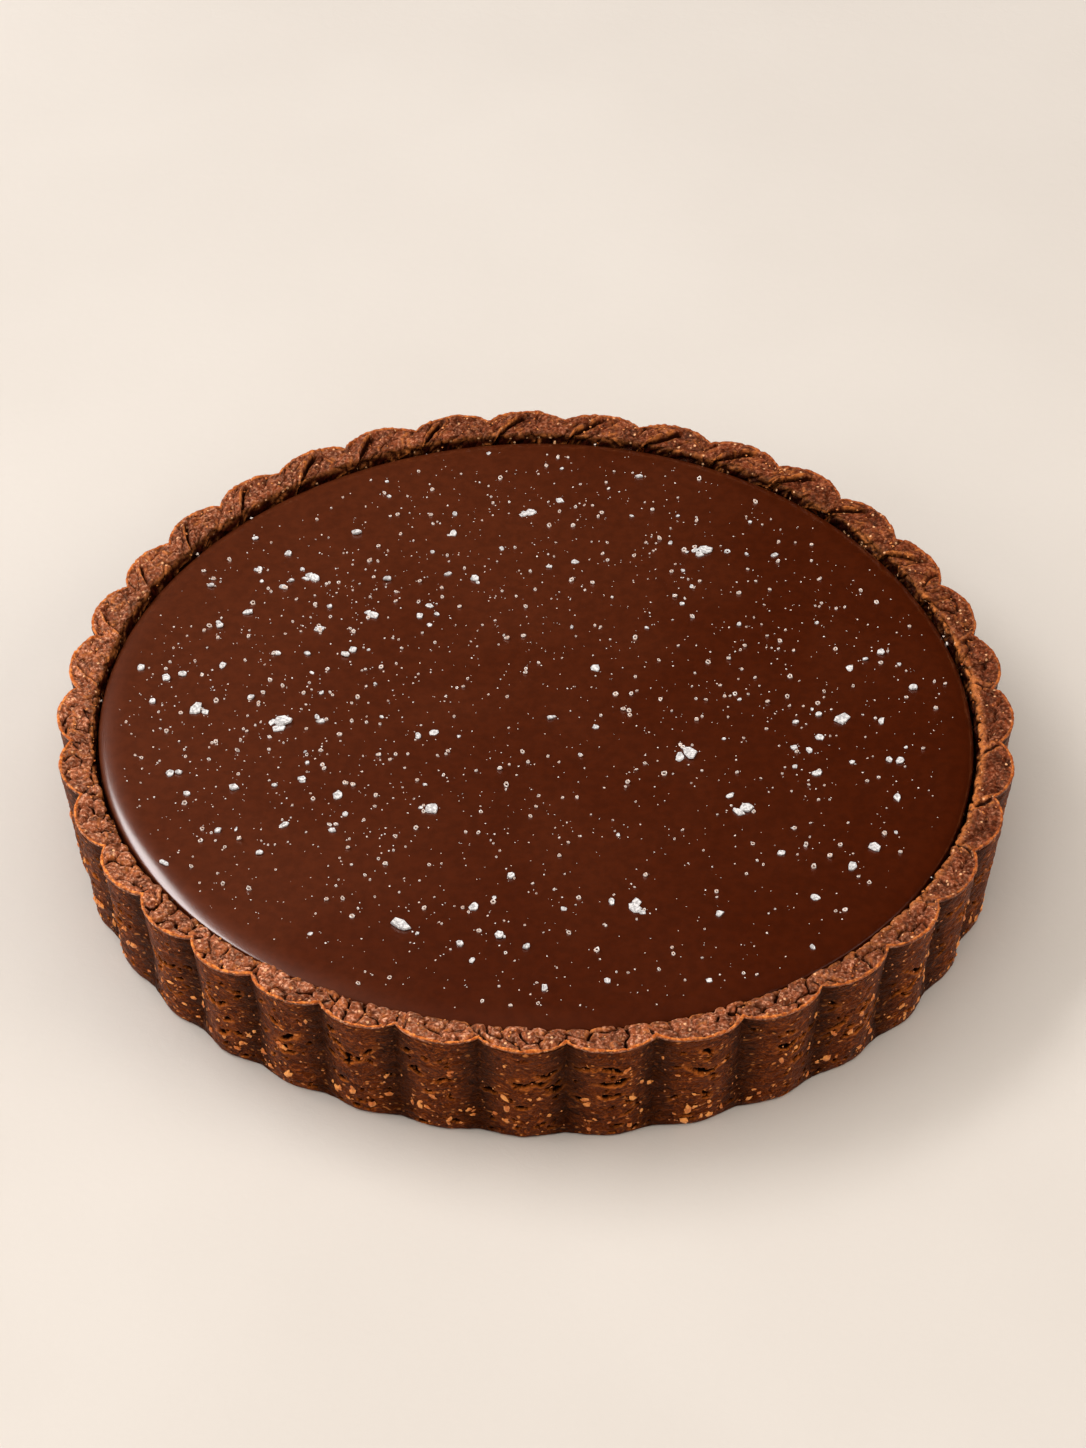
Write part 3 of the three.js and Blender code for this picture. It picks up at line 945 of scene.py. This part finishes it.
def ganacheMaterial():
    material, tree, shader, coords = startMaterial("ganacheGloss", {
        "Roughness": 0.42, "Specular IOR Level": 0.5, "Specular Tint": (1.0, 0.3, 0.12, 1),
        "Coat Weight": 1.0, "Coat Roughness": 0.19, "Coat IOR": 1.8})
    # painted sheen: the surface is paler and less red towards the side the key light comes from, with soft
    # clouds
    along = vectorCalc(tree, "DOT_PRODUCT", coords, (-0.92, 0.38, 0.0), "Value")
    clouds = remap(tree, noise(tree, coords, 22.0, 3.0, 0.5, 0.4), 0.3, 0.7, -0.03, 0.03)
    paintedSheen = remap(tree, calc(tree, "ADD", along, clouds), -0.1, 0.11)
    color = blend(tree, paintedSheen, ganacheColors["dark"], ganacheColors["sheenSide"])
    mottle = noise(tree, coords, 420.0, 4.0, 0.6)
    color = tinted(tree, color, remap(tree, mottle, 0.3, 0.7, 0.86, 1.12))
    finish(tree, shader, color, noise(tree, coords, 160.0, 4.0, 0.5, 0.3), 0.2, 0.0002)
    return material


# plainer finishes: noise that mixes two colours, with its limits, and finer noise for bumps
saltFinish = dict(
    shader={"Roughness": 0.3, "Specular IOR Level": 0.6, "IOR": 1.54},
    patches=(1400.0, 3.0, 0.6), limits=(0.42, 0.58), grain=(2200.0, 2.0), bump=(0.3, 0.0003))
sugarFinish = dict(
    shader={"Roughness": 0.35, "Specular IOR Level": 0.5},
    patches=(420.0, 2.0), limits=(0.36, 0.64), grain=(1800.0, 2.0), bump=(0.4, 0.0004))
floorFinish = dict(
    shader={"Roughness": 0.85, "Specular IOR Level": 0.1},
    patches=(6.0, 3.0), limits=(0.3, 0.7), grain=(260.0, 5.0, 0.6, 0.6), bump=(0.12, 0.001))


def mottledMaterial(name, look, dark, light):
    material, tree, shader, coords = startMaterial(name, look["shader"])
    share = remap(tree, noise(tree, coords, *look["patches"]), *look["limits"])
    finish(tree, shader, blend(tree, share, (*dark, 1), (*light, 1)),
           noise(tree, coords, *look["grain"]), *look["bump"])
    return material


def dress(piece, material, slot, *nodes):
    piece.data.materials.append(material)
    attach(piece, "root")
    if nodes:
        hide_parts(*nodes)
    print("made", piece.name, len(piece.data.polygons), "faces")


dough, specks = bakedDoughGroup(), specksGroup()
crumbRim, pressedWall = rimMaterial(dough, specks), wallMaterial(dough, specks)
for piece in makeRim():
    dress(piece, crumbRim, "crust", "crust")
for piece in (*makeWall(), makeCore()):
    dress(piece, pressedWall, "crust", "crust")
dress(makeGanache(), ganacheMaterial(), "ganache", "ganache")

# salt and sugar: names and two colours of their materials
saltTones = [("saltWhite", (0.47, 0.455, 0.46), (0.86, 0.84, 0.83)),
             ("saltClear", (0.86, 0.66, 0.55), (1.0, 0.95, 0.91))]
sugarTones = [("amberSugar", (0.62, 0.155, 0.022), (0.98, 0.38, 0.09)),
              ("toastedSpecks", (0.5, 0.12, 0.02), (0.82, 0.31, 0.09))]
for pieces, look, tones, slot in ((makeSalt(), saltFinish, saltTones, "salt"),
                                  (makeSugar(), sugarFinish, sugarTones, "toasted_sugar")):
    for piece, (name, dark, light) in zip(pieces, tones):
        dress(piece, mottledMaterial(name, look, dark, light), slot)

# plain pale floor, just under the tart
floorSize = 4.0
floorCorners = np.array([[-1, -1, 0], [1, -1, 0], [1, 1, 0], [-1, 1, 0]]) * floorSize / mm
floor = makeMesh("floor", floorCorners + [0, 0, -0.1], [(0, 1, 2, 3)])
floor.data.materials.append(
    mottledMaterial("paleFloor", floorFinish, (0.665, 0.616, 0.568), (0.695, 0.646, 0.598)))

studio = dict(
    # name: azimuth from +X, elevation, distance, width, height, power, colour, seen in reflections
    softboxes=dict(
        key=(156, 48, 1.6, 1.15, 0.42, 12.0, (0.99, 0.98, 0.98), True),
        top=(150, 82, 1.8, 2.2, 2.2, 17.0, (1.0, 0.97, 0.93), False),
        glint=(-12, 40, 1.6, 1.0, 0.3, 0.45, (1.0, 0.95, 0.92), True),
        left=(195, 24, 1.6, 0.9, 0.9, 6.6, (1.0, 0.96, 0.92), False),
        front=(255, 45, 1.6, 1.2, 1.2, 5.2, (1.0, 0.92, 0.84), False),
        right=(-12, 36, 1.6, 1.0, 1.0, 7.6, (1.0, 0.9, 0.79), False),
    ),
    worldColor=(1.0, 0.96, 0.91), worldStrength=0.26,
)


def addSoftbox(name, azimuth, elevation, distance, width, height, power, color, mirrored):
    lamp = bpy.data.lights.new(name, "AREA")
    lamp.shape = "RECTANGLE"
    lamp.size, lamp.size_y = width, height
    lamp.energy, lamp.color = power, color
    holder = bpy.data.objects.new(name, lamp)
    bpy.context.scene.collection.objects.link(holder)
    a, e = math.radians(azimuth), math.radians(elevation)
    away = Vector((math.cos(a) * math.cos(e), math.sin(a) * math.cos(e), math.sin(e)))
    holder.location = away * distance
    holder.rotation_mode = "QUATERNION"
    holder.rotation_quaternion = away.to_track_quat("Z", "Y")
    holder.visible_glossy = mirrored


for name, box in studio["softboxes"].items():
    addSoftbox(name, *box)
world = bpy.data.worlds.new("studio")
world.use_nodes = True
background = world.node_tree.nodes["Background"]
background.inputs["Color"].default_value = (*studio["worldColor"], 1)
background.inputs["Strength"].default_value = studio["worldStrength"]
world.cycles_visibility.glossy = False
bpy.context.scene.world = world
bpy.context.scene.view_settings.view_transform = "Standard"
bpy.context.scene.view_settings.look = "None"

# a long lens, looking down on the tart from the front
view = dict(target=(1.3, -5.6, 34.6), elevation=42.37, distance=1199.5, lens=115.26)
camera = bpy.data.cameras.new("camera")
camera.sensor_width = 36
camera.lens = view["lens"]
camera.clip_start, camera.clip_end = 0.01, 20
eye = bpy.data.objects.new("camera", camera)
bpy.context.scene.collection.objects.link(eye)
lookDown = math.radians(view["elevation"])
back = Vector((0, -math.cos(lookDown), math.sin(lookDown)))
eye.location = Vector(view["target"]) * mm + back * view["distance"] * mm
eye.rotation_euler = (math.pi / 2 - lookDown, 0, 0)
bpy.context.scene.camera = eye
print("floor, lights and camera set")
